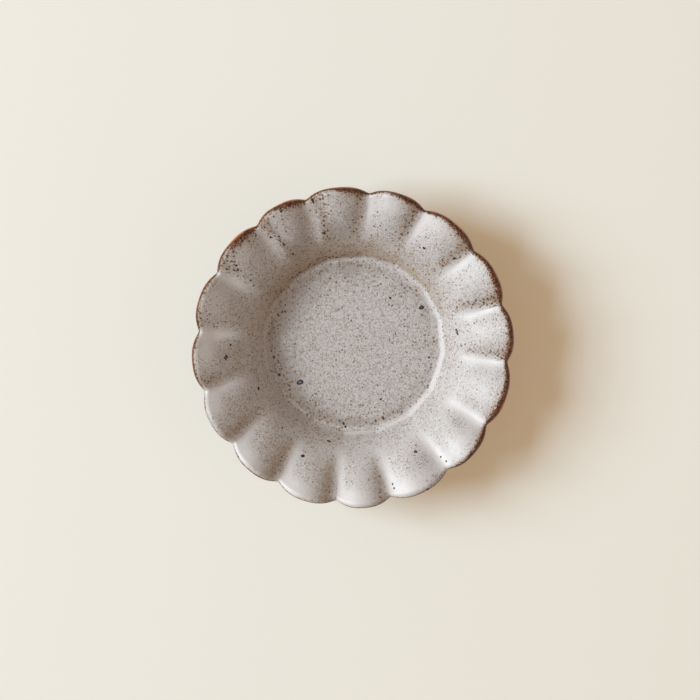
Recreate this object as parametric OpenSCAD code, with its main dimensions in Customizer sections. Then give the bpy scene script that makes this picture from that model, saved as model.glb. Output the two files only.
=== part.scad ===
// Petalled soy sauce dish in glazed stoneware.
// The origin is on the table under the middle of the foot, +Z is up, and sizes are in millimetres.
// The clay and each coat of glaze are closed solids that meet face to face.

/* [Dish] */
// Number of petals round the wall
petals = 16; // [10:1:20]
// Radius from the axis to the petal tips
rim_r = 48; // [44:0.5:54]
// Radius of the sunk floor, to its corners
floor_r = 26.8; // [24:0.2:28]
// Height of the glazed floor above the table
floor_z = 4.4; // [4:0.1:6]
// Height of the small step from the floor up to the wall
floor_step_h = 0.8; // [0.4:0.1:1.2]
// Width of that step
floor_step_w = 0.4; // [0.2:0.1:0.8]

/* [Wall] */
// Slope of the wall where it leaves the floor, in degrees
wall_slope = 58; // [48:1:62]
// Slope of the wall where it ends in the lip, in degrees
lip_slope = 22; // [12:1:28]
// Thickness of the wall at the floor, with its glaze
wall_t = 3.4; // [3:0.1:4]
// Thickness of the lip at the middle of a petal, with its glaze
lip_t = 3.1; // [2.9:0.1:3.8]

/* [Petals] */
// Direction of the first crease between two petals, in degrees
first_crease_dir = 16.2; // [0:0.1:22.5]
// Depth of the creases inside the dish, at the lip
crease_in_d = 2.3; // [1.6:0.1:2.6]
// How far the back stands out behind a crease, at the lip
ridge_out_d = 1.4; // [1.2:0.1:1.8]
// How far the lip draws back at a crease
notch_d = 2.6; // [1:0.1:2.8]

/* [Foot] */
// Outer radius of the foot ring
foot_r = 24.2; // [22:0.2:25]
// Width of the foot ring
foot_w = 3.2; // [2.6:0.1:4]
// Height of the foot ring
foot_h = 1.8; // [1.4:0.1:2.4]
// How far the foot ring's outside leans in towards the table
foot_lean = 0.7; // [0:0.1:1.2]
// Worn edge on the foot ring, inside and outside
foot_edge = 0.5; // [0.3:0.1:0.8]

/* [Glaze] */
// Thickness of the glaze
glaze_t = 0.4; // [0.3:0.05:0.45]
// Length of bare clay left above the foot ring, along the outside
bare_w = 1.8; // [1:0.2:3]

/* [Hidden] */

clay_colour = [0.55, 0.38, 0.26];
glaze_colour = [0.76, 0.73, 0.70];
iron_colour = [0.42, 0.24, 0.13];

// How far each crease stands from its even place, as a share of one petal's pitch
crease_drift_shares = [
    0.01, 0.01, 0.06, 0.01, 0.06, -0.03, -0.01, 0.01,
    0.01, 0.01, -0.01, 0.01, -0.08, -0.03, -0.05, 0.06
];
// Where the creases begin and reach their full depth, as shares of the way up the wall
crease_shares = [0.28, 0.8];
// How far up the wall the floor's straight sides fade into a round wall, as a share of it
straight_share = 0.35;
// How far up the wall the underside's belly runs, as a share of it
belly_share = 0.22;
// How round the bottom of a crease is, as a share of half a petal
crease_soft_share = 0.3;
// Powers that shape a petal's cross section and the outline of its lip
pad_power = 2;
lip_power = 2.8;

petal_pitch = 360 / petals;
petal_steps = 6;
wall_steps = 9;
lip_steps = 3;
band_steps = 5;
back_steps = 7;
belly_steps = 4;
bare_steps = 2;
$fn = 96;

// The iron brown band lies on the lip between these angles, from its inner edge round to its outer
band_from = 40;
band_to = 150;

function dir2(a) = [cos(a), sin(a)];
function smooth(x) = x <= 0 ? 0 : x >= 1 ? 1 : x * x * (3 - 2 * x);
function mix(a, b, x) = a + (b - a) * x;

// Columns round the dish: each has its direction and its place across its petal, from -1 to 1
function crease_dir(i) = first_crease_dir
    + (i + crease_drift_shares[i % petals % len(crease_drift_shares)]) * petal_pitch;
columns = [
    for (i = [0:petals - 1], k = [0:petal_steps - 1])
        let (u = sin(180 * (k / petal_steps - 0.5)))
        [mix(crease_dir(i), crease_dir(i + 1), (1 + u) / 2), u]
];

// The wall's middle line is one arc from the floor to the lip; rows are [radius, height]
wall_in_foot = [floor_r + floor_step_w, floor_z + floor_step_h];
wall_foot = wall_in_foot + dir2(wall_slope - 90) * wall_t / 2;
wall_arc_r = (rim_r - lip_t / 2 - wall_foot[0]) / (sin(wall_slope) - sin(lip_slope));
wall_len = wall_arc_r * (wall_slope - lip_slope) * PI / 180;

function slope_at(s) = wall_slope - s / wall_arc_r * 180 / PI;
function wall_at(s) = wall_foot
    + wall_arc_r * [sin(wall_slope) - sin(slope_at(s)), cos(slope_at(s)) - cos(wall_slope)];
function inward_at(s) = dir2(slope_at(s) + 90);

// Half thicknesses of the wall, from its middle line to the petal's face and to its back
function half_at(s) = mix(wall_t, lip_t, s / wall_len) / 2;
function crease_at(s) =
    smooth((s / wall_len - crease_shares[0]) / (crease_shares[1] - crease_shares[0]));
function fold_at(u) = max(0, 1 - norm([1 - abs(u), crease_soft_share])) / (1 - crease_soft_share);
function pad_at(s, u) = crease_at(s) * pow(fold_at(u), pad_power);
function face_t(s, u) = half_at(s) - crease_in_d * pad_at(s, u);
function back_t(s, u) = half_at(s) + ridge_out_d * pad_at(s, u);
function lip_at(u) = wall_len - notch_d * pow(abs(u), lip_power);

// The floor is a polygon with a corner at each crease, and the wall starts out along its sides
function side_in(u) = floor_r * (1 - cos(petal_pitch / 2) / cos(petal_pitch / 2 * u));
function side_at(s, u) = side_in(u) * pow(max(0, 1 - s / (straight_share * wall_len)), 2);

// Rows of the face, the lip and the back, each pressed in by a depth below the glazed surface
function face_row(s, u, depth) =
    wall_at(s) + inward_at(s) * (face_t(s, u) - depth) - [side_at(s, u), 0];
function back_row(s, u, depth) = wall_at(s) - inward_at(s) * (back_t(s, u) - depth);
function lip_row(a, u, depth) =
    let (s = lip_at(u), fat = (face_t(s, u) + back_t(s, u)) / 2,
         core = wall_at(s) + inward_at(s) * (face_t(s, u) - fat))
    core + (fat - depth) * dir2(slope_at(s) + 90 - a);

// The belly is a curve from the foot ring's edge to the back of the wall
function belly_row(t, u, depth) =
    let (a = [foot_r, foot_h - glaze_t + depth],
         b = back_row(0, u, depth), c = back_row(belly_share * wall_len, u, depth))
    (1 - t) * (1 - t) * a + 2 * t * (1 - t) * b + t * t * c;
belly_len = norm(back_row(belly_share * wall_len, 0, 0) - [foot_r, foot_h]);
bare_to = bare_w / belly_len;

function steps(a, b, n) = [for (k = [0:n]) mix(a, b, k / n)];
function rest(rows) = [for (i = [1:len(rows) - 1]) rows[i]];

// Runs of rows for one column, and the same runs under the glaze
function face_rows(u, depth) = concat(
    [[floor_r - side_in(u), floor_z - depth]],
    [for (s = steps(0, 1, wall_steps)) face_row(s * lip_at(u), u, depth)],
    [for (k = [1:lip_steps]) lip_row(band_from * k / lip_steps, u, depth)]
);
function band_rows(u, depth) = [for (a = steps(band_from, band_to, band_steps)) lip_row(a, u, depth)];
function back_rows(u, depth) = concat(
    [for (a = [band_to, 180]) lip_row(a, u, depth)],
    [for (k = [1:back_steps]) back_row(mix(lip_at(u), belly_share * wall_len, k / back_steps), u, depth)],
    [for (k = [1:belly_steps]) belly_row(mix(1, bare_to, k / belly_steps), u, depth)]
);
function bare_rows(u) = [for (t = steps(bare_to, 0, bare_steps)) belly_row(t, u, glaze_t)];

// Turns a row of the section into a point in space
function turned(row, dir) = [row[0] * cos(dir), row[0] * sin(dir), row[1]];
function wrapped(runs) = [
    for (i = [0:len(runs[0]) - 1], j = [0:len(columns) - 1]) turned(runs[j][i], columns[j][0])
];

// Two triangles for each cell between row i and row i + 1, with one diagonal for all solids
function band_faces(start, rows, n) = [
    for (i = [0:rows - 2], j = [0:n - 1])
        let (a = start + i * n + j, b = start + i * n + (j + 1) % n)
        each [[a, b, b + n], [a, b + n, a + n]]
];
function turned_over(faces) = [for (f = faces) [f[2], f[1], f[0]]];
function fan_faces(start, n, middle) = [for (j = [0:n - 1]) [middle, start + (j + 1) % n, start + j]];
function joined(from, to, n) = [
    for (j = [0:n - 1])
        let (k = (j + 1) % n)
        each [[from + j, from + k, to + k], [from + j, to + k, to + j]]
];

// A coat: its outer rows and the rows under it, closed along both edges
module coat(outer, under) {
    n = len(columns);
    rows = len(outer[0]);
    below = rows * n;
    points = concat(wrapped(outer), wrapped(under));
    faces = concat(
        band_faces(0, rows, n),
        turned_over(band_faces(below, rows, n)),
        turned_over(joined(0, below, n)),
        joined((rows - 1) * n, below + (rows - 1) * n, n)
    );
    polyhedron(points = points, faces = turned_over(faces), convexity = 6);
}

module petal_body() {
    n = len(columns);
    runs = [
        for (c = columns)
            concat(face_rows(c[1], glaze_t), rest(band_rows(c[1], glaze_t)),
                rest(back_rows(c[1], glaze_t)), rest(bare_rows(c[1])))
    ];
    rows = len(runs[0]);
    points = concat(wrapped(runs), [[0, 0, floor_z - glaze_t], [0, 0, foot_h]]);
    faces = concat(
        band_faces(0, rows, n),
        fan_faces(0, n, rows * n),
        turned_over(fan_faces((rows - 1) * n, n, rows * n + 1))
    );
    color(clay_colour)
        polyhedron(points = points, faces = turned_over(faces), convexity = 6);
}

module foot_ring() {
    inner = foot_r - foot_w;
    outer = foot_r - foot_lean;
    color(clay_colour)
        rotate_extrude()
            polygon([
                [inner, foot_h], [inner, foot_edge], [inner + foot_edge, 0],
                [outer - foot_edge, 0], [outer, foot_edge], [foot_r, foot_h]
            ]);
}

module inner_glaze() {
    n = len(columns);
    outer = [for (c = columns) face_rows(c[1], 0)];
    under = [for (c = columns) face_rows(c[1], glaze_t)];
    rows = len(outer[0]);
    below = rows * n;
    points = concat(wrapped(outer), wrapped(under), [[0, 0, floor_z], [0, 0, floor_z - glaze_t]]);
    faces = concat(
        band_faces(0, rows, n),
        fan_faces(0, n, 2 * below),
        turned_over(band_faces(below, rows, n)),
        turned_over(fan_faces(below, n, 2 * below + 1)),
        joined((rows - 1) * n, below + (rows - 1) * n, n)
    );
    color(glaze_colour)
        polyhedron(points = points, faces = turned_over(faces), convexity = 6);
}

module rim_band() {
    color(iron_colour)
        coat([for (c = columns) band_rows(c[1], 0)], [for (c = columns) band_rows(c[1], glaze_t)]);
}

module outer_glaze() {
    color(glaze_colour)
        coat([for (c = columns) back_rows(c[1], 0)], [for (c = columns) back_rows(c[1], glaze_t)]);
}

module base_glaze() {
    color(glaze_colour)
        translate([0, 0, foot_h - glaze_t])
            cylinder(r = foot_r - foot_w, h = glaze_t);
}

petal_body();
foot_ring();
inner_glaze();
rim_band();
outer_glaze();
base_glaze();
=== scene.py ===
"""A petalled sauce dish in speckled stoneware glaze: its surfaces, finishes, light and camera.

All sizes are in metres in the part's own frame: +Z is up, the table is at z = 0, and the origin is
under the middle of the foot. A surface is a grid of rings, each a full turn round the dish.
"""
import math

import bpy
import numpy as np
from mathutils import Matrix, Vector
from mathutils.bvhtree import BVHTree


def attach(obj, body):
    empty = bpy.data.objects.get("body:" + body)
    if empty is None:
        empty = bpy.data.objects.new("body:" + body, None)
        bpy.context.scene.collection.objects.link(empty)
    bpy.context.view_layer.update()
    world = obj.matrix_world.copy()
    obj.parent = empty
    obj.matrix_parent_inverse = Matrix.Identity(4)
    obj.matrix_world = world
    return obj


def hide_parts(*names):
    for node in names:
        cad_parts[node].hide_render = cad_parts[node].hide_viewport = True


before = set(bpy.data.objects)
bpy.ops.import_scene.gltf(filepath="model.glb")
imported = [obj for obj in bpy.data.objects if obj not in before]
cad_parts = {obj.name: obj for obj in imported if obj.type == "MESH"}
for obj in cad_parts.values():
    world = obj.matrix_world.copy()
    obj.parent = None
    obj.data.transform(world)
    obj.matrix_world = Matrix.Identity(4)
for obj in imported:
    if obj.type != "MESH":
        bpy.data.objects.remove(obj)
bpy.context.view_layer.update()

MM = 0.001

# Driving sizes, as in the part's source, but for rim_r, as the outline here is a little rounder
petals = 16
rim_r = 47.83 * MM
floor_r = 26.8 * MM
floor_z = 4.4 * MM
floor_step_h = 0.8 * MM
floor_step_w = 0.4 * MM
wall_slope = math.radians(58)
lip_slope = math.radians(22)
wall_t = 3.4 * MM
lip_t = 3.1 * MM
first_crease_dir = math.radians(16.2)
crease_in_d = 2.3 * MM
ridge_out_d = 1.4 * MM
notch_d = 2.6 * MM
foot_r = 24.2 * MM
foot_w = 3.2 * MM
foot_h = 1.8 * MM
foot_lean = 0.7 * MM
foot_worn_r = 0.6 * MM
glaze_t = 0.4 * MM
bare_w = 1.8 * MM

# Shares of a petal's pitch by which each crease stands off its even place
crease_drift_shares = np.array([
    0.01, 0.01, 0.06, 0.01, 0.06, -0.03, -0.01, 0.01,
    0.01, 0.01, -0.01, 0.01, -0.08, -0.03, -0.05, 0.06])
# Shares of the wall's length where a crease starts and where it has its full depth
crease_shares = (0.28, 0.8)
# Shares of the wall's length where the floor's straight sides have faded out, and where the belly joins
straight_share = 0.35
belly_share = 0.22
# Round bottoms of a crease and of its notch in the lip, as shares of half a petal
crease_soft_share = 0.3
notch_soft_share = 0.06
# How sharply the depth of a crease and of a notch falls off beside it
pad_power = 2.0
lip_power = 2.8
# Edges of the iron coat, as angles round the lip from its join with the face
band_from = math.radians(40)
band_to = math.radians(150)
# Fillet between floor and wall: its start in from the floor's edge, its end up the wall, how far out its
# corner stands, and how far along it the floor's own glaze runs on
fillet_in = 0.35 * MM
fillet_up = 1.0 * MM
fillet_out = 0.1 * MM
fillet_run = 0.5 * MM
# A distance from the outline that counts as far down the wall
far_down = 20 * MM

# Columns of a grid across one petal
glaze_columns = 24
clay_columns = 12
foot_columns = 10

# How the finish varies round the dish, anticlockwise from the first crease. First the iron's reach in from
# the outline, by half petal
iron_shares = (
    1.0, 0.7, 0.95, 0.55, 0.9, 0.35, 0.9, 0.25, 1.05, 0.4, 1.2, 0.5, 0.45, 0.55, 0.5, 0.45,
    0.12, 0.12, 0.2, 0.25, 0.15, 0.15, 0.15, 0.15, 0.12, 0.15, 0.5, 0.85, 1.1, 0.75, 1.0, 0.7)
# By petal: coarse specks in a column beside the crease where it starts, and beside the one where it ends
start_speck_shares = np.array([
    0.9, 0.8, 0.5, 0.4, 0.1, 0.1, 0.1, 0.1, 0.15, 0.1, 0.15, 0.4, 0.2, 0.2, 0.3, 0.9])
end_speck_shares = np.array([
    0.2, 0.1, 0.3, 1.0, 1.0, 0.7, 0.45, 0.5, 0.45, 0.4, 0.5, 0.6, 0.2, 0.2, 0.2, 0.3])
# A patch of specks under the lip, near the petal's end
patch_shares = np.array([
    0.0, 0.0, 0.1, 0.5, 0.8, 1.0, 0.3, 0.0, 0.0, 0.0, 0.0, 0.0, 0.0, 0.0, 0.0, 0.0])
# How far the lip goes without its dotted fringe, with an even, slightly browner wall
calm_shares = (0.0, 0.0, 0.0, 0.0, 0.0, 0.1, 0.3, 0.6, 0.9, 1.0, 0.8, 0.6, 0.6, 0.5, 0.4, 0.2)
# Brown stain at the wall's foot
stain_shares = (0.6, 0.68, 0.75, 1.0, 1.0, 0.9, 0.6, 0.35, 0.25, 0.35, 0.42, 0.38, 0.28, 0.3, 0.28, 0.4)
# White under the lip, partly the glaze's own and partly painted light, how far in from the outline it lies,
# and the side of a petal it keeps to, the one turned to the light
tip_shares = (0.3, 0.45, 1.1, 0.35, 0.25, 0.6, 0.85, 1.05, 1.0, 1.35, 1.4, 1.5, 1.15, 1.0, 0.5, 0.3)
tip_places_mm = (7.0, 5.0, 4.5, 5.5, 7.0, 7.0, 7.0, 5.5, 4.0, 3.2, 3.2, 3.5, 4.2, 5.8, 7.0, 7.5)
lit_side_dir = math.radians(60)
# White on the middle of the wall, partly the glaze's own and partly painted light on the walls turned to the
# light; greyer where the share is below 0, which is painted shade on the top wall
pale_and_lit_shares = (0.9, 0.2, 0.2, -1.0, -1.0, 0.0, 0.0, 0.1, 0.1, 0.4, 1.1, 1.5, 1.3, 1.1, 1.0, 1.0)
# The pale line round the floor; the ring of specks inside it, which on the side in the wall's shadow is
# partly painted shade; and painted shadow, the floor drawn greyer where the wall's shadow falls
line_shares = (1.0, 0.9, 0.75, 0.5, 0.4, 0.5, 0.7, 0.8, 0.7, 0.6, 0.6, 0.8, 0.9, 1.0, 1.0, 1.0)
specks_and_shade_ring_shares = (0.3, 0.3, 0.35, 0.5, 0.6, 0.8, 1.0, 1.0, 1.0, 0.9, 0.9, 0.9, 0.8, 0.5, 0.4, 0.3)
# Painted shadow: how much greyer the floor is drawn where the wall's shadow falls, round the dish
dim_shares = (0.2, 0.2, 0.3, 0.45, 0.65, 0.7, 0.85, 0.85, 0.7, 0.5, 0.25, 0.25, 0.1, 0.1, 0.15, 0.2)

# The wall's middle line is one arc from the floor to the lip
pitch = 2 * math.pi / petals
wall_foot_r = floor_r + floor_step_w + math.sin(wall_slope) * wall_t / 2
wall_foot_z = floor_z + floor_step_h - math.cos(wall_slope) * wall_t / 2
wall_arc_r = (rim_r - lip_t / 2 - wall_foot_r) / (math.sin(wall_slope) - math.sin(lip_slope))
wall_len = wall_arc_r * (wall_slope - lip_slope)

# Radius of the round lip, and the angle round it from its join with the face to the outline
lip_round_r = lip_t / 2
outline_turn = lip_slope + math.pi / 2


def smooth(x):
    """0 below 0, 1 above 1, and an even S between: 3 times x squared less 2 times x cubed."""
    x = np.clip(x, 0, 1)
    return x * x * (3 - 2 * x)


def ramp(x, low, high):
    """0 below low, 1 above high, and the same even S between."""
    return smooth((x - low) / (high - low))


def bump(x, middle, width):
    """A bell of height 1 round middle: e to minus the square of the distance in widths."""
    return np.exp(-((x - middle) / width) ** 2)


def columns(per_petal):
    """Directions round the dish, and the place u across the petal from -1 to 1: u is the sine of even steps,
    so that the columns bunch at the creases."""
    turn = np.arange(petals + 1)
    creases = first_crease_dir + (turn + crease_drift_shares[turn % petals]) * pitch
    u = np.sin(np.linspace(-math.pi / 2, math.pi / 2, per_petal, endpoint=False))
    dirs = creases[:-1, None] + (creases[1:] - creases[:-1])[:, None] * (1 + u) / 2
    return dirs.ravel(), np.tile(u, petals)


def round_dish(dirs, shares):
    """A value eased from each share to the next round the dish; the shares stand at even steps."""
    steps = len(shares)
    place = (dirs - first_crease_dir) / (2 * math.pi) * steps - 0.5
    low = np.floor(place).astype(int)
    ease = smooth(place - low)
    values = np.array(shares)
    return values[low % steps] * (1 - ease) + values[(low + 1) % steps] * ease


def slope_at(s):
    """The wall's slope falls evenly along its length."""
    return wall_slope - s / wall_arc_r


def wall_at(s):
    """Radius and height of the wall's middle line: a point on its arc."""
    slope = slope_at(s)
    return (wall_foot_r + wall_arc_r * (math.sin(wall_slope) - np.sin(slope)),
            wall_foot_z + wall_arc_r * (np.cos(slope) - math.cos(wall_slope)))


def half_at(s):
    """Half the wall's thickness, which changes evenly from the floor to the lip."""
    return (wall_t + (lip_t - wall_t) * s / wall_len) / 2


def pad_at(s, u):
    """0 along a petal's middle and 1 in its creases, easing in up the wall: a power of what 1 leaves over the
    distance from the crease, which is rounded off to give the crease a round bottom."""
    near = np.sqrt((1 - np.abs(u)) ** 2 + crease_soft_share ** 2)
    rise = ramp(s / wall_len, *crease_shares)
    return rise * (np.clip(1 - near, 0, 1) / (1 - crease_soft_share)) ** pad_power


def face_t(s, u):
    """Middle line to the face: half the wall, less the crease, which fades in up the wall."""
    return half_at(s) - crease_in_d * pad_at(s, u)


def back_t(s, u):
    """Middle line to the back: half the wall, and a ridge behind each crease."""
    return half_at(s) + ridge_out_d * pad_at(s, u)


def lip_at(u):
    """Length of the wall where its lip begins: all of it, less the notch's depth times a power of what 1
    leaves over the distance from the crease, which is rounded off too."""
    near = np.sqrt((1 - np.abs(u)) ** 2 + notch_soft_share ** 2)
    return wall_len - notch_d * np.clip(1 - near, 0, 1) ** lip_power


def side_in(u):
    """How far the floor's straight side stands inside the circle through its corners: the circle's radius
    less the straight line's, which is the cosine of half a pitch over that of the angle from its middle."""
    return floor_r * (1 - math.cos(pitch / 2) / np.cos(pitch / 2 * u))


def face_row(s, u, depth):
    """A ring of the wall's face, pressed in by a depth: the middle line moved square to its slope."""
    r, z = wall_at(s)
    slope = slope_at(s)
    out = face_t(s, u) - depth
    side = side_in(u) * np.clip(1 - s / (straight_share * wall_len), 0, 1) ** 2
    return r - np.sin(slope) * out - side, z + np.cos(slope) * out


def back_row(s, u, depth):
    """A ring of the wall's back, pressed in by a depth: the middle line moved the other way."""
    r, z = wall_at(s)
    slope = slope_at(s)
    out = back_t(s, u) - depth
    return r + np.sin(slope) * out, z - np.cos(slope) * out


def lip_row(a, u, depth):
    """A ring of the round lip, at an angle from its join with the face: a point on a circle whose radius is
    half of what the wall measures there."""
    s = lip_at(u)
    r, z = wall_at(s)
    slope = slope_at(s)
    fat = (face_t(s, u) + back_t(s, u)) / 2
    off = face_t(s, u) - fat
    turn = slope + math.pi / 2 - a
    return (r - np.sin(slope) * off + (fat - depth) * np.cos(turn),
            z + np.cos(slope) * off + (fat - depth) * np.sin(turn))


def curve_row(t, a, b, c):
    """A ring on a quadratic curve from ring a to ring c, drawn towards ring b."""
    return tuple((1 - t) ** 2 * p + 2 * t * (1 - t) * q + t * t * w for p, q, w in zip(a, b, c))


def belly_row(t, u, depth):
    """A ring of the belly: a curve from the foot ring's edge to the wall's back, drawn towards its foot."""
    edge = (foot_r + 0 * u, foot_h - glaze_t + depth + 0 * u)
    return curve_row(t, edge, back_row(0, u, depth), back_row(belly_share * wall_len, u, depth))


belly_len = math.dist(back_row(belly_share * wall_len, 0, 0), (foot_r, foot_h))
bare_to = bare_w / belly_len


# What each vertex tells the glaze: how thick the coat is against an even one, raised for painted light and
# lowered for painted shade in places, how far inside the iron band it lies (1 at the outline, 0 at the
# band's edge), how crowded the specks are, and how brown the stain is, raised for painted shade in places
plain_levels = {"coat": 1.0, "iron": -2.0, "crowd": 0.3, "stain": 0.0}

# What each feature of the glaze adds at its strongest to the coat, the crowd of specks and the stain
petal_weights = {
    "even": (1.0, 0.35, 0.0),
    "pooled": (0.45, -0.35, -0.5),
    # tip: white glaze under the lip, partly painted light on the side turned to the light
    "tip": (0.55, -0.25, 0.0),
    # pale: white glaze on the wall's middle, partly painted light, and painted shade where it goes below 0
    "pale": (0.25, 0.0, 0.0),
    "line": (0.4, 0.0, -0.7),
    "foot": (0.0, 0.3, 1.0),
    "seam": (0.0, 0.5, 0.5),
    # Painted shade: browner, more speckled glaze on the side of a pad turned from the light
    "thin_side": (0.0, 0.15, 0.3),
    "column": (-0.25, 0.6, 0.2),
    # corner: specks, and painted shade by the crease under the lip
    "corner": (-0.3, 0.8, 0.35),
    "patch": (-0.12, 0.55, 0.2),
    "fringe": (0.0, 0.0, 0.38),
    "calm": (0.0, -0.12, 0.0),
    "calm_wall": (-0.12, 0.0, 0.28)}
back_weights = {
    "even": (1.0, 0.35, 0.15),
    "ridge": (-0.2, 0.3, 0.35)}
floor_weights = {
    "even": (0.96, 0.36, 0.0),
    # Darker outwards: partly more specks and stain, partly painted shade by the wall
    "outer": (-0.06, 0.1, 0.1),
    # Painted shadow of the wall on the floor, drawn as greyer glaze
    "dim": (-0.24, 0.0, 0.0),
    # Ring of specks, and on the side in the wall's shadow painted shade as well
    "ring": (-0.2, 0.42, 0.25),
    "line": (0.45, -0.25, 0.0)}

# Middle and width in mm of the bell that places each feature, across from a crease
pooled_mm = (0, 1.7)
ridge_mm = (0, 1.6)
nick_mm = (0, 1.0)
start_column_mm = (2.6, 1.8)
end_column_mm = (2.9, 1.5)
corner_across_mm = (1.8, 2.6)
patch_across_mm = (5, 3.6)
# In from the outline
corner_in_mm = (1.5, 5.5)
patch_in_mm = (3, 6)
pale_in_mm = (15, 8)
tip_w_mm = 4.2
# Up from the wall's foot, and in from the floor's edge
seam_up_mm = (1.0, 0.9)
line_up_mm = (0.1, 0.9)
line_in_mm = (0.1, 1.0)
ring_in_mm = (2.0, 2.2)
# How far up the wall the stain of its foot reaches
stain_reach = 9 * MM

# The iron band's reach in from the outline and under it, in mm: the least, and what a full share adds
reach_in_mm = (0.7, 2.5)
reach_under_mm = (1.2, 1.3)
# How much of its reach it loses in a nick, and the iron at the outline on the back
nick_loss = 0.35
iron_under = 0.65
# How much less the glaze pools white beside the thickest specks, which lie on a crease's shaded side, so that
# this is partly painted shade
shaded_pool_loss = 0.35
# The rolled edge of the outer glaze, in shares of the way down the belly: where it starts, and the middle and
# width of the white bead and of the thin edge; last, how deep it is pressed in, as a share of the coat
roll_from = 0.93
bead_place = (0.9, 0.1)
edge_place = (1, 0.03)
roll_share = 0.8


def bell(x, place_mm):
    """A bump whose middle and width are given in millimetres."""
    middle, width = place_mm
    return bump(x, middle * MM, width * MM)


def glaze_levels(weights, **strengths):
    """Coat, crowd and stain: each feature's strength times its weights, all added up, the stain within 0
    and 1."""
    coat, crowd, stain = sum(np.outer(weights[name], strength) for name, strength in strengths.items())
    return {"coat": coat, "crowd": crowd, "stain": np.clip(stain, 0, 1)}


class Section:
    """Rings gathered in order, each with what the glaze does there."""

    def __init__(self, per_petal):
        self.dirs, self.u = columns(per_petal)
        self.petal = np.repeat(np.arange(petals), per_petal)
        self.rings = []
        self.levels = {name: [] for name in plain_levels}

    def add(self, row, levels=None):
        """Adds a ring from its radius and height, and the levels of the glaze along it."""
        r, z = row
        self.rings.append(np.stack([r * np.cos(self.dirs), r * np.sin(self.dirs), z + 0 * self.u], -1))
        for name, plain in plain_levels.items():
            self.levels[name].append((levels or {}).get(name, plain) + 0 * self.u)

    def surface(self, name, poles=None):
        """Quads between rings; the grid closes on itself, or on a point at each end."""
        rings = np.array(self.rings)
        m, n = rings.shape[:2]
        i = np.arange(m if poles is None else m - 1)[:, None]
        j = np.arange(n)[None]
        after = (i + 1) % m
        quads = np.stack([i * n + j, i * n + (j + 1) % n, after * n + (j + 1) % n, after * n + j], -1)
        faces = quads.reshape(-1, 4)[:, ::-1].tolist()
        points = rings.reshape(-1, 3).tolist()
        if poles is not None:
            first, last = m * n, m * n + 1
            points += list(poles)
            faces += [[(k + 1) % n, k, first][::-1] for k in range(n)]
            faces += [[(m - 1) * n + k, (m - 1) * n + (k + 1) % n, last][::-1] for k in range(n)]
        mesh = bpy.data.meshes.new(name)
        mesh.from_pydata(points, [], faces)
        for level, values in self.levels.items():
            values = np.array(values).ravel().tolist()
            if poles is not None:
                values += [values[0], values[-1]]
            mesh.attributes.new(level, "FLOAT", "POINT").data.foreach_set("value", values)
        mesh.polygons.foreach_set("use_smooth", [True] * len(faces))
        mesh.set_sharp_from_angle(angle=math.radians(50))
        piece = bpy.data.objects.new(name, mesh)
        bpy.context.scene.collection.objects.link(piece)
        return piece


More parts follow.
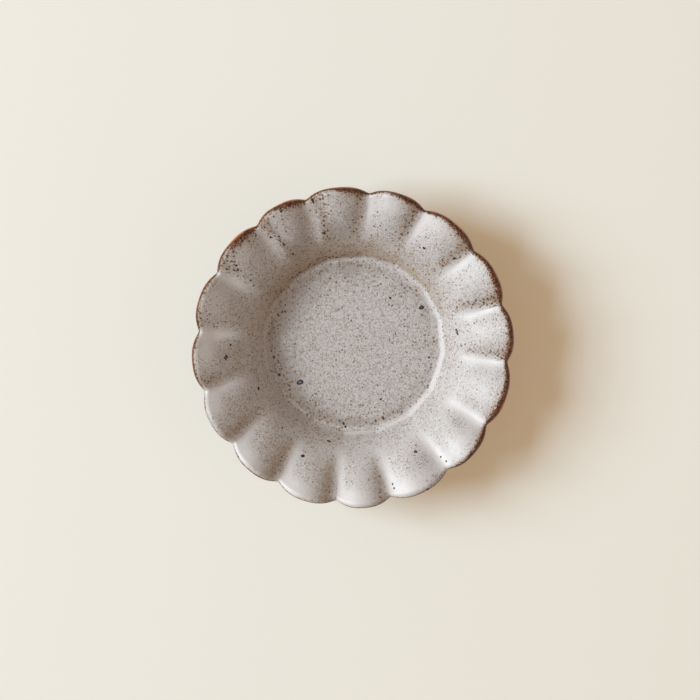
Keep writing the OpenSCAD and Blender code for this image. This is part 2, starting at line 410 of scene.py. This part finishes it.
def petal_glaze(part, s, gap):
    """The glaze on a petal at a length up the wall and a distance along the surface from the outline,
    positive on the face. The iron falls evenly from the outline, from 1 on the face and 0.65 on the back,
    through 0 at the band's edge. Every other feature is a product of shares, bells and ramps. The glaze is
    white where it pools in the creases, less so on a crease's shaded side, which is painted shade, and along
    the line at its foot. It is white on the tip and on the wall's middle, partly its own white and partly
    painted light on the sides and walls turned to the light, and greyer on the top wall, which is painted
    shade. It is brown at the foot, where the stain dies away as e to minus the power 1.5 of the length, and
    in the seam there, and browner on the side of a pad turned from the light, which is painted shade. It is
    speckled in columns beside the creases, in a patch under the lip and in the corners by the creases, where
    painted shade darkens it too, and has a tan fringe there where it isn't calm."""
    dirs, u, petal = part.dirs, part.u, part.petal
    half = wall_at(s)[0] * pitch / 2
    from_start, from_end = (1 + u) * half, (1 - u) * half
    away = np.minimum(from_start, from_end)
    up = s / wall_len
    rise = ramp(up, 0.25, 0.6)
    iron_share = round_dish(dirs, iron_shares)
    reach_in = (reach_in_mm[0] + reach_in_mm[1] * iron_share) * (1 - nick_loss * bell(away, nick_mm)) * MM
    reach_under = (reach_under_mm[0] + reach_under_mm[1] * iron_share) * MM
    iron = np.clip(np.where(gap > 0, 1 - gap / reach_in, iron_under + gap / reach_under), -2, 1)
    if np.mean(gap) < 0:
        return {"iron": iron, **glaze_levels(back_weights, even=1, ridge=rise * bell(away, ridge_mm))}

    dotted_side = np.where(u < 0, start_speck_shares[petal], end_speck_shares[petal])
    lit_side = u * np.cos(dirs - lit_side_dir)
    pooled = rise * bell(away, pooled_mm) * (1 - shaded_pool_loss * dotted_side)
    # Painted light: the tip's white is kept to the side of each pad turned to the light
    tip = bump(gap, round_dish(dirs, tip_places_mm) * MM, tip_w_mm * MM) * smooth(0.6 + 0.7 * lit_side)
    foot = round_dish(dirs, stain_shares)
    columns_by = (start_speck_shares[petal] * bell(from_start, start_column_mm)
                  + end_speck_shares[petal] * bell(from_end, end_column_mm))
    # Painted shade with specks: darker, browner glaze in the corners by the creases under the lip
    corner = dotted_side * bell(away, corner_across_mm) * bell(gap, corner_in_mm)
    calm = round_dish(dirs, calm_shares)
    return {"iron": iron, **glaze_levels(
        petal_weights,
        even=1,
        pooled=pooled,
        tip=tip * round_dish(dirs, tip_shares),
        # Painted light on the walls turned to the light, painted shade on the top wall
        pale=round_dish(dirs, pale_and_lit_shares) * bell(gap, pale_in_mm),
        line=round_dish(dirs, line_shares) * bell(s, line_up_mm),
        foot=foot * np.exp(-(s / stain_reach) ** 1.5),
        seam=np.clip(2.4 * foot - 1.4, 0, 1) * bell(s, seam_up_mm),
        # Painted shade on the side of each pad turned from the light
        thin_side=rise * ramp(-lit_side, 0.25, 0.65) * (1 - pooled),
        column=columns_by * ramp(up, 0.2, 0.5),
        corner=corner * (1 - calm),
        patch=patch_shares[petal] * bell(from_end, patch_across_mm) * bell(gap, patch_in_mm),
        fringe=(1 - calm) * ramp(iron, -1.3, 0.2),
        calm=calm,
        calm_wall=calm * rise)}


def floor_glaze(part, r):
    """The glaze on the floor at a radius: a little thinner, browner and more speckled outwards, which is
    partly painted shade by the wall; greyer still towards the side in the wall's shadow, which is painted
    shadow; and a ring of specks inside the pale line at its edge, heavier on that side, where it is partly
    painted shade.
    Each feature is a ramp in the radius, or a share round the dish times a ramp or a bell."""
    inside = floor_r - side_in(part.u) - r
    return glaze_levels(
        floor_weights,
        even=1,
        outer=ramp(r / floor_r, 0.5, 0.8),
        # Painted shadow: the floor drawn greyer towards the side the wall shades
        dim=round_dish(part.dirs, dim_shares) * ramp(r / floor_r, 0.3, 0.9),
        ring=round_dish(part.dirs, specks_and_shade_ring_shares) * bell(inside, ring_in_mm),
        line=round_dish(part.dirs, line_shares) * bell(inside, line_in_mm))


def face_coat():
    """The inner glaze: a flat floor, a fillet, the petals' faces and the lip's inner edge."""
    part = Section(glaze_columns)
    u = part.u
    edge_r = floor_r - side_in(u)
    low_r = edge_r - fillet_in
    for share in np.concatenate([np.linspace(0.02, 0.72, 20), np.linspace(0.74, 1, 20)]):
        part.add((low_r * share, floor_z + 0 * u), floor_glaze(part, low_r * share))
    low, corner = (low_r, floor_z + 0 * u), (edge_r + fillet_out, floor_z + 0 * u)
    for t in np.linspace(0, 1, 9)[1:]:
        levels = floor_glaze(part, low_r + fillet_run * t)
        if t > 0.5:
            levels = petal_glaze(part, fillet_up * (2 * t - 1), far_down)
        part.add(curve_row(t, low, corner, face_row(fillet_up, u, 0)), levels)
    for share in np.linspace(0, 1, 90)[1:]:
        s = fillet_up + (lip_at(u) - fillet_up) * share
        part.add(face_row(s, u, 0), petal_glaze(part, s, lip_at(u) - s + lip_round_r * outline_turn))
    for a in np.append(np.linspace(0, band_from, 9)[1:-1], [band_from - 0.01, band_from]):
        part.add(lip_row(a, u, 0), petal_glaze(part, lip_at(u), lip_round_r * (outline_turn - a)))
    for a in np.linspace(band_from, 0, 5):
        part.add(lip_row(a, u, glaze_t))
    for share in np.linspace(1, 0, 16)[1:]:
        part.add(face_row(lip_at(u) * share, u, glaze_t))
    part.add((edge_r, floor_z - glaze_t + 0 * u))
    return part.surface("face_coat", [(0, 0, floor_z), (0, 0, floor_z - glaze_t)])


def lip_band():
    """The iron coat on the lip: a round band and the same band under it."""
    part = Section(glaze_columns)
    u = part.u
    inward = np.linspace(band_from, outline_turn - 0.02, 16)[1:]
    outward = np.linspace(outline_turn + 0.02, band_to, 12)[:-1]
    for a in np.concatenate([[band_from, band_from + 0.01], inward, outward, [band_to - 0.01, band_to]]):
        part.add(lip_row(a, u, 0), petal_glaze(part, lip_at(u), lip_round_r * (outline_turn - a)))
    for a in np.linspace(band_to, band_from, 8):
        part.add(lip_row(a, u, glaze_t))
    return part.surface("lip_band")


def back_coat():
    """The outer glaze: down the back of the petals and round the belly to a rolled edge. It gathers white in
    a bell just short of that edge, and its last part is pressed in as the square of the way through it."""
    part = Section(glaze_columns)
    u = part.u
    under = lip_round_r * (math.pi - outline_turn)
    down = belly_share * wall_len - lip_at(u)
    for a in np.append([band_to, band_to + 0.01], np.linspace(band_to, math.pi, 6)[1:]):
        part.add(lip_row(a, u, 0), petal_glaze(part, lip_at(u), lip_round_r * (outline_turn - a)))
    for share in np.linspace(0, 1, 60)[1:]:
        s = lip_at(u) + down * share
        part.add(back_row(s, u, 0), petal_glaze(part, s, s - lip_at(u) - under))
    for share in np.linspace(0, 1, 24)[1:]:
        thin = glaze_t * roll_share * np.clip((share - roll_from) / (1 - roll_from), 0, 1) ** 2
        bead, edge = bump(share, *bead_place), bump(share, *edge_place)
        part.add(belly_row(1 + (bare_to - 1) * share, u, thin),
                 {"coat": 1 + 0.5 * bead - 0.5 * edge, "iron": edge - 0.7, "crowd": 0.4, "stain": 0.2})
    for share in np.linspace(1, 0, 8):
        part.add(belly_row(1 + (bare_to - 1) * share, u, glaze_t))
    for share in np.linspace(1, 0, 16)[1:]:
        part.add(back_row(lip_at(u) + down * share, u, glaze_t))
    part.add(lip_row(band_to, u, glaze_t))
    return part.surface("back_coat")


def clay_wall():
    """The pressed clay under the glaze, bare only beside the foot."""
    part = Section(clay_columns)
    u = part.u
    part.add((floor_r - side_in(u), floor_z - glaze_t + 0 * u))
    for share in np.linspace(0, 1, 16):
        part.add(face_row(lip_at(u) * share, u, glaze_t))
    for a in np.linspace(0, math.pi, 13)[1:]:
        part.add(lip_row(a, u, glaze_t))
    for share in np.linspace(0, 1, 16)[1:]:
        part.add(back_row(lip_at(u) + (belly_share * wall_len - lip_at(u)) * share, u, glaze_t))
    for t in np.linspace(1, 0, 20)[1:]:
        part.add(belly_row(t, u, glaze_t))
    return part.surface("clay_wall", [(0, 0, floor_z - glaze_t), (0, 0, foot_h)])


def clay_foot():
    """The foot ring: a leaning band with a worn round edge, a quarter circle, on each side of its flat."""
    part = Section(foot_columns)
    flat = 0 * part.u
    outer = foot_r - foot_lean
    inner = foot_r - foot_w
    worn = foot_worn_r
    part.add((inner + flat, foot_h + flat))
    part.add((foot_r + flat, foot_h + flat))
    for t in np.linspace(0, 1, 8)[1:]:
        part.add((foot_r + (outer - foot_r) * t + flat, foot_h + (worn - foot_h) * t + flat))
    for a in np.linspace(0, -math.pi / 2, 7)[1:]:
        part.add((outer - worn + worn * math.cos(a) + flat, worn + worn * math.sin(a) + flat))
    for a in np.linspace(-math.pi / 2, -math.pi, 7):
        part.add((inner + worn + worn * math.cos(a) + flat, worn + worn * math.sin(a) + flat))
    for t in np.linspace(0, 1, 6)[1:-1]:
        part.add((inner + flat, worn + (foot_h - worn) * t + flat))
    return part.surface("clay_foot")


def foot_pool():
    """The glaze inside the foot ring: a flat disc, thin and stained where it meets the ring, by the 24th
    power of its share of the radius."""
    part = Section(foot_columns)
    flat = 0 * part.u
    reach = foot_r - foot_w
    for share in np.linspace(0.05, 1, 20):
        part.add((reach * share + flat, foot_h + flat))
    for share in np.linspace(1, 0.05, 40):
        thin = share ** 24
        part.add((reach * share + flat, foot_h - glaze_t + flat),
                 {"coat": 1.1 - 0.5 * thin, "crowd": 0.4 + 0.3 * thin, "stain": 0.1 + 0.6 * thin,
                  "iron": thin - 0.6})
    return part.surface("foot_pool", [(0, 0, foot_h), (0, 0, foot_h - glaze_t)])


# Camera, which the iron spots are placed by: it stands just short of overhead, and image_far_px is how far
# it stands from the aim, in the picture's pixels

image_px = 700
px_per_m = 3385
lens_mm, sensor_mm = 85, 36
image_far_px = image_px * lens_mm / sensor_mm
tilt, side = math.radians(5.6), math.radians(73)
back = Vector((math.sin(tilt) * math.cos(side), math.sin(tilt) * math.sin(side), math.cos(tilt)))
right = Vector((0, 1, 0)).cross(back).normalized()
up = back.cross(right)
aim = Vector((-2.4 / px_per_m, -0.85 / px_per_m, 20 * MM))
eye_at = aim + back * (image_far_px / px_per_m)


def camera():
    """Looks towards the dish, against back, so framed that the rim lies where the photograph has it."""
    eye = bpy.data.objects.new("camera", bpy.data.cameras.new("camera"))
    eye.data.lens = lens_mm
    eye.data.sensor_width = sensor_mm
    eye.location = eye_at
    eye.rotation_mode = "QUATERNION"
    eye.rotation_quaternion = Matrix((right, up, back)).transposed().to_quaternion()
    bpy.context.scene.collection.objects.link(eye)
    bpy.context.scene.camera = eye


# Iron spots burnt through the glaze: pixel across and down, width and length in pixels, turn in degrees, and
# how open the middle is, from 0, black all over, to 1, blue-grey inside a dark ring
iron_spots_px = (
    (300.0, 382.3, 6.0, 7.4, -70, 1.0), (421.4, 307.6, 4.4, 6.2, -60, 0.3), (457.0, 331.9, 4.1, 7.4, 10, 1.0),
    (226.0, 357.4, 4.6, 4.8, 0, 0.8), (258.6, 388.4, 3.0, 4.1, 30, 0.0), (302.8, 456.0, 3.4, 4.8, 90, 0.0),
    (328.8, 441.0, 2.3, 5.3, 65, 0.1), (415.6, 451.7, 3.2, 4.1, -70, 0.5), (427.6, 489.4, 3.0, 3.9, -70, 0.0),
    (440.7, 456.9, 2.1, 2.5, 0, 0.0), (446.2, 461.3, 2.1, 2.5, 0, 0.0), (392.6, 484.1, 2.1, 2.5, 0, 0.0),
    (394.1, 488.2, 2.1, 2.5, 0, 0.0), (424.0, 248.1, 3.0, 3.7, 20, 0.0), (454.0, 258.6, 2.5, 4.6, -60, 0.0),
    (236.4, 265.5, 2.5, 3.0, 0, 0.0), (270.6, 237.3, 2.5, 3.7, 20, 0.0), (280.9, 211.4, 2.3, 2.8, 0, 0.0),
    (323.8, 233.2, 2.5, 4.6, 70, 0.0), (312.6, 200.6, 3.2, 5.3, 10, 0.0), (257.6, 226.0, 3.0, 3.4, 0, 0.0),
    (292.9, 254.2, 2.1, 3.2, 60, 0.0), (230.5, 344.8, 2.3, 2.5, 0, 0.0), (390.2, 298.0, 2.2, 3.4, 70, 0.0),
    (273.9, 357.2, 2.8, 3.2, 0, 0.0), (278.8, 374.6, 2.3, 3.4, 10, 0.0), (343.4, 423.4, 2.5, 3.4, 30, 0.0),
    (345.5, 426.8, 2.3, 3.0, 0, 0.0), (429.0, 357.5, 2.2, 2.8, 0, 0.0), (380.7, 399.2, 2.3, 3.2, -60, 0.0),
    (383.5, 418.6, 2.3, 3.4, 40, 0.0), (282.3, 427.6, 1.8, 2.3, 0, 0.0))
# Height of a spot, how far it is set into the glaze, and how deep its closed underside lies
spot_h = 0.1 * MM
spot_set_in = 0.012 * MM
spot_under = 0.1 * MM


def iron_spots(coats):
    """Low lens-shaped blobs: rings of a slightly wavy oval round a middle, lifted as 1 - share squared, sunk
    at their edge and closed below. Each lies where its pixel's line of sight meets the glaze, square to it
    there."""
    corners, sides = [], []
    for coat in coats:
        sides += [[len(corners) + k for k in p.vertices] for p in coat.data.polygons]
        corners += [v.co for v in coat.data.vertices]
    tree = BVHTree.FromPolygons(corners, sides)
    rings = np.array([0.25, 0.5, 0.75, 1.0, 0.6])
    lift = np.array([0.94, 0.75, 0.44, 0.0, -0.3])
    turn = np.linspace(0, 2 * math.pi, 14, endpoint=False)
    n, m = len(turn), len(rings)
    k = np.arange(n)
    after = (k + 1) % n
    ends = [[0, 0, spot_h - spot_set_in], [0, 0, -spot_under]]
    points, faces, share_at, open_at = [], [], [], []
    for across, down, width, length, lean, hollow in iron_spots_px:
        sight = right * (across - image_px / 2) - up * (down - image_px / 2) - back * image_far_px
        hit, normal, _, _ = tree.ray_cast(eye_at, sight.normalized())
        upright = (up - normal * up.dot(normal)).normalized()
        along = Matrix.Rotation(math.radians(lean), 3, normal) @ upright
        axes = np.array([along.cross(normal), along, normal])
        wave = 1 + 0.1 * np.sin(2 * turn + across) + 0.06 * np.sin(3 * turn + down)
        flat_x = rings[:, None] * np.cos(turn) * wave * width / 2 / px_per_m
        flat_y = rings[:, None] * np.sin(turn) * wave * length / 2 / px_per_m
        height = (lift * spot_h - spot_set_in)[:, None] + 0 * flat_x
        local = np.concatenate([np.stack([flat_x, flat_y, height], -1).reshape(-1, 3), ends])
        base = len(points)
        points += (np.array(hit) + local @ axes).tolist()
        for row in range(m - 1):
            near, far = base + row * n, base + (row + 1) * n
            faces += np.stack([near + k, far + k, far + after, near + after], -1).tolist()
        faces += (base + np.stack([k, after, np.full(n, m * n)], -1)).tolist()
        faces += (base + (m - 1) * n + np.stack([after, k, np.full(n, n + 1)], -1)).tolist()
        share_at += np.repeat(rings, n).tolist() + [0.0, 1.0]
        open_at += [hollow] * (m * n + 2)
    mesh = bpy.data.meshes.new("iron_spots")
    mesh.from_pydata(points, [], faces)
    for name, values in (("share", share_at), ("hollow", open_at)):
        mesh.attributes.new(name, "FLOAT", "POINT").data.foreach_set("value", values)
    mesh.polygons.foreach_set("use_smooth", [True] * len(faces))
    piece = bpy.data.objects.new("iron_spots", mesh)
    bpy.context.scene.collection.objects.link(piece)
    return piece


# Finishes

def linear(*levels):
    """A colour written in display levels from 0 to 255, as the shader takes it."""
    share = np.array(levels) / 255
    low = share / 12.92
    high = ((share + 0.055) / 1.055) ** 2.4
    return (*np.where(share <= 0.04045, low, high).tolist(), 1.0)


class Finish:
    """A material and the steps that its nodes are made in; an input takes a number, a colour or a step."""

    def __init__(self, name):
        self.made = bpy.data.materials.new(name)
        self.made.use_nodes = True
        self.tree = self.made.node_tree
        self.shader = self.tree.nodes["Principled BSDF"]
        self.place = self.put("ShaderNodeTexCoord", {}).outputs["Object"]

    def put(self, kind, inputs, **settings):
        """A new node with its settings, and its inputs by name or number."""
        node = self.tree.nodes.new(kind)
        for name, value in settings.items():
            setattr(node, name, value)
        for key, value in inputs.items():
            if isinstance(value, bpy.types.NodeSocket):
                self.tree.links.new(value, node.inputs[key])
            else:
                node.inputs[key].default_value = value
        return node

    def give(self, name, value):
        """Sets one of the shader's inputs."""
        self.tree.links.new(value, self.shader.inputs[name])

    def level(self, name):
        """What the vertices say of this level."""
        return self.put("ShaderNodeAttribute", {}, attribute_name=name).outputs["Fac"]

    def add(self, a, b):
        """a + b"""
        return self.put("ShaderNodeMath", {0: a, 1: b}, operation="ADD").outputs[0]

    def times(self, a, b):
        """a times b"""
        return self.put("ShaderNodeMath", {0: a, 1: b}, operation="MULTIPLY").outputs[0]

    def less(self, a, b):
        """a - b"""
        return self.put("ShaderNodeMath", {0: a, 1: b}, operation="SUBTRACT").outputs[0]

    def between(self, value, low, high, start=0.0, end=1.0):
        """Eases from start to end as the value goes from low to high."""
        limits = {"Value": value, "From Min": low, "From Max": high, "To Min": start, "To Max": end}
        return self.put("ShaderNodeMapRange", limits, interpolation_type="SMOOTHSTEP").outputs["Result"]

    def mix(self, share, a, b):
        """Colour a where the share is 0 and b where it is 1."""
        return self.put("ShaderNodeMix", {0: share, 6: a, 7: b}, data_type="RGBA").outputs[2]

    def lay(self, ground, colour, share, strength):
        """The ground with a colour laid on it where the share is, this strongly at most."""
        return self.mix(self.times(share, strength), ground, colour)

    def blend(self, share, a, b):
        """Number a where the share is 0 and b where it is 1."""
        return self.put("ShaderNodeMix", {0: share, 2: a, 3: b}, data_type="FLOAT").outputs[0]

    def cloud(self, size, detail=2.0):
        """Soft noise from 0 to 1 whose patches are about this size."""
        noise = self.put("ShaderNodeTexNoise", {"Vector": self.place, "Scale": 1 / size, "Detail": detail})
        return noise.outputs["Fac"]

    def sway(self, size, amount, detail=2.0):
        """The same noise about 0, this much each way."""
        return self.times(self.less(self.cloud(size, detail), 0.5), 2 * amount)

    def specks(self, size, crowd, widest, soft=0.1):
        """Uneven dots about this far apart: crowd, 0 to 1, says how many show; widest is a share of the size.
        Gives the dots, and a number from 0 to 1 that is each dot's own."""
        shake = self.put("ShaderNodeTexNoise", {"Vector": self.place, "Scale": 2.2 / size, "Detail": 1.0})
        shift = self.put("ShaderNodeVectorMath", {0: shake.outputs["Color"], 1: (0.5, 0.5, 0.5)},
                         operation="SUBTRACT")
        moved = self.put("ShaderNodeVectorMath", {0: shift.outputs[0], 1: (0.45 * size,) * 3, 2: self.place},
                         operation="MULTIPLY_ADD")
        cells = self.put("ShaderNodeTexVoronoi", {"Vector": moved.outputs[0], "Scale": 1 / size})
        draw = self.put("ShaderNodeSeparateColor", {"Color": cells.outputs["Color"]})
        shown = self.put("ShaderNodeMath", {0: self.less(crowd, draw.outputs[0]), 1: 3.0},
                         operation="MULTIPLY", use_clamp=True)
        inside = self.less(self.times(shown.outputs[0], widest), cells.outputs["Distance"])
        return self.between(inside, -0.3 * soft, soft), draw.outputs[1]

    def relief(self, height, depth, strength):
        """Bumps on the surface, this deep."""
        bumps = self.put("ShaderNodeBump", {"Height": height, "Distance": depth, "Strength": strength})
        self.give("Normal", bumps.outputs["Normal"])


# Specks in the glaze: how far apart, the widest as a share of that, how strong, and darkest and palest colour
fine_specks = (0.6 * MM, 0.5, 0.65, linear(112, 88, 68), linear(150, 126, 106))
mid_specks = (0.9 * MM, 0.4, 0.85, linear(92, 64, 44), linear(138, 108, 84))
coarse_specks = (1.1 * MM, 0.4, 0.9, linear(62, 36, 24), linear(108, 72, 46))


def speckled(f, ground, crowd, kind):
    """The ground with one kind of speck on it, each of its own colour, and where these specks are."""
    size, widest, strength, dark, pale = kind
    dots, draw = f.specks(size, crowd, widest)
    return f.lay(ground, f.mix(draw, dark, pale), dots, strength), dots


def stoneware_glaze():
    """Grey-white satin glaze over iron clay: whiter and glossier where it pools, speckled all over, stained
    where it is thin, and broken to a mottled iron brown at the lip. Its white and grey also carry painted
    light and painted shade, brought in through the coat level."""
    f = Finish("stoneware_glaze")
    coat, iron, crowd, stain = (f.level(name) for name in plain_levels)
    ash, milk = linear(168, 160, 155), linear(199, 193, 191)
    thin_grey_and_shade, tea, pooled_white = linear(138, 128, 122), linear(164, 145, 124), linear(212, 206, 203)
    tan, burnt = linear(150, 120, 92), linear(60, 28, 14)
    brown, rust = linear(118, 66, 34), linear(190, 128, 90)

    thick_and_lit = f.add(coat, f.add(f.sway(8 * MM, 0.16), f.sway(1.1 * MM, 0.14, 3.0)))
    white_and_lit = f.between(thick_and_lit, 1.02, 1.65)
    ground = f.mix(f.between(f.cloud(0.42 * MM, 1.5), 0.34, 0.66), ash, milk)
    # Grey where the glaze is thin, and painted shade where the coat level is lowered for it
    ground = f.lay(ground, thin_grey_and_shade, f.between(thick_and_lit, 0.92, 0.6), 0.7)
    ground = f.lay(ground, tea, f.between(f.add(stain, f.sway(2.4 * MM, 0.3, 3.0)), 0.1, 0.9), 0.85)
    # White where the glaze pools, and painted light where the coat level is raised for it
    ground = f.lay(ground, pooled_white, white_and_lit, 0.8)

    patch = f.sway(5 * MM, 0.22, 2.0)
    fine_crowd = f.add(f.add(0.5, f.times(stain, 0.35)), f.add(f.times(white_and_lit, -0.6), f.times(patch, 0.5)))
    ground, _ = speckled(f, ground, fine_crowd, fine_specks)
    ground, mid = speckled(f, ground, f.add(f.add(f.times(crowd, 1.1), patch), -0.08), mid_specks)
    fringe = f.times(f.between(iron, -0.9, 0.1), f.between(iron, 0.9, 0.2))
    coarse_crowd = f.add(f.times(f.between(f.add(crowd, patch), 0.5, 1.0), 0.75), f.times(fringe, 0.8))
    ground, coarse = speckled(f, ground, coarse_crowd, coarse_specks)

    ground = f.mix(f.between(iron, -0.45, 0.25, 0.0, 0.5), ground, tan)
    bare = f.between(f.add(iron, f.sway(0.45 * MM, 0.8, 3.0)), -0.08, 0.2)
    core = f.mix(f.between(f.cloud(0.7 * MM, 3.0), 0.4, 0.62), burnt, brown)
    lip = f.mix(f.between(f.add(iron, f.sway(0.9 * MM, 0.25, 2.0)), 0.5, 0.85), core, rust)
    f.give("Base Color", f.mix(bare, ground, lip))

    f.give("Roughness", f.blend(bare, f.between(white_and_lit, 0, 1, 0.55, 0.45), 0.3))
    dents = f.add(f.times(f.add(mid, coarse), -0.3), f.times(bare, -0.25))
    f.relief(f.add(f.cloud(1.4 * MM, 2.0), dents), 0.05 * MM, 0.5)
    return f.made


def iron_spot():
    """Glossy black iron, with a blue-grey middle in the bigger spots."""
    f = Finish("iron_spot")
    black, brown_black, blue_grey = linear(30, 22, 20), linear(56, 40, 34), linear(112, 114, 130)
    edge = f.add(f.level("share"), f.sway(0.5 * MM, 0.1))
    middle = f.times(f.between(edge, 0.56, 0.3), f.level("hollow"))
    f.give("Base Color", f.mix(middle, f.mix(f.cloud(0.4 * MM, 2.0), black, brown_black), blue_grey))
    f.give("Roughness", f.between(f.cloud(0.3 * MM), 0.3, 0.7, 0.34, 0.5))
    return f.made


def bare_clay():
    """Fired stoneware: sandy brown in patches, with fine grog, iron specks and rings left by turning, which
    are a sine of the distance from the middle."""
    f = Finish("bare_clay")
    brown, sand = linear(150, 112, 82), linear(176, 140, 108)
    grog, iron = linear(128, 92, 66), linear(70, 46, 34)
    ring_w = 0.55 * MM
    ground = f.mix(f.between(f.cloud(7 * MM, 3.0), 0.35, 0.65), brown, sand)
    ground = f.mix(f.between(f.cloud(0.5 * MM), 0.4, 0.75), ground, grog)
    dots, _ = f.specks(1.6 * MM, 0.35, 0.3)
    f.give("Base Color", f.mix(dots, ground, iron))
    f.shader.inputs["Roughness"].default_value = 0.85
    flat = f.put("ShaderNodeVectorMath", {0: f.place, 1: (1, 1, 0)}, operation="MULTIPLY")
    radius = f.put("ShaderNodeVectorMath", {0: flat.outputs[0]}, operation="LENGTH").outputs["Value"]
    turned = f.put("ShaderNodeMath", {0: f.times(radius, 2 * math.pi / ring_w)}, operation="SINE").outputs[0]
    f.relief(f.add(f.cloud(0.35 * MM, 3.0), f.times(turned, 0.15)), 0.06 * MM, 0.6)
    return f.made


glaze = stoneware_glaze()
clay = bare_clay()

parts = (
    (face_coat, "inner_glaze", "glaze", glaze),
    (lip_band, "rim_band", "iron_glaze", glaze),
    (back_coat, "outer_glaze", "glaze", glaze),
    (clay_wall, "petal_body", "clay", clay),
    (clay_foot, "foot_ring", "clay", clay),
    (foot_pool, "base_glaze", "glaze", glaze),
)
for make, node_name, slot_name, finish in parts:
    piece = make()
    piece.data.materials.append(finish)
    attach(piece, "root")
    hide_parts(node_name)

spots = iron_spots([bpy.data.objects["face_coat"], bpy.data.objects["lip_band"]])
spots.data.materials.append(iron_spot())
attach(spots, "root")

# Table and light

table_half = 1.5


def table():
    """A wide cream tabletop. It has a glow of its own, seen straight and mirrored but not shed on the dish,
    which keeps the shade under it warm."""
    mesh = bpy.data.meshes.new("table")
    h = table_half
    mesh.from_pydata([(-h, -h, 0), (h, -h, 0), (h, h, 0), (-h, h, 0)], [], [(0, 1, 2, 3)])
    top = bpy.data.objects.new("table", mesh)
    bpy.context.scene.collection.objects.link(top)
    f = Finish("cream_table")
    f.shader.inputs["Base Color"].default_value = (0.6, 0.68, 0.69, 1)
    f.shader.inputs["Roughness"].default_value = 0.9
    f.shader.inputs["Specular IOR Level"].default_value = 0.2
    path = f.put("ShaderNodeLightPath", {})
    mirrored = f.add(path.outputs["Is Glossy Ray"], path.outputs["Is Transmission Ray"])
    seen = f.add(path.outputs["Is Camera Ray"], mirrored)
    glow = f.put("ShaderNodeEmission", {"Color": (0.232, 0.12, 0.035, 1), "Strength": seen})
    both = f.put("ShaderNodeAddShader", {0: f.shader.outputs[0], 1: glow.outputs[0]})
    f.tree.links.new(both.outputs[0], f.tree.nodes["Material Output"].inputs["Surface"])
    mesh.materials.append(f.made)


def lamp(name, direction_deg, height_deg, distance, size, power, colour):
    """A square soft box that looks at the dish from this direction and height."""
    light = bpy.data.lights.new(name, "AREA")
    light.size = size
    light.energy = power
    light.color = colour
    box = bpy.data.objects.new(name, light)
    turn, rise = math.radians(direction_deg), math.radians(height_deg)
    flat = math.cos(rise)
    box.location = Vector((flat * math.cos(turn), flat * math.sin(turn), math.sin(rise))) * distance
    box.rotation_mode = "QUATERNION"
    box.rotation_quaternion = box.location.to_track_quat("Z", "Y")
    bpy.context.scene.collection.objects.link(box)


table()
lamp("window", direction_deg=171.5, height_deg=35.5, distance=2.6, size=1.38, power=93,
     colour=(0.78, 0.88, 0.95))
lamp("card", direction_deg=-20, height_deg=30, distance=1.6, size=1.2, power=2.4, colour=(1.0, 0.92, 0.92))

room = bpy.data.worlds.new("room")
bpy.context.scene.world = room
room.use_nodes = True
air = room.node_tree.nodes["Background"].inputs
air["Color"].default_value = (1.0, 0.79, 0.6, 1)
air["Strength"].default_value = 0.36

camera()
bpy.context.scene.view_settings.view_transform = "Standard"
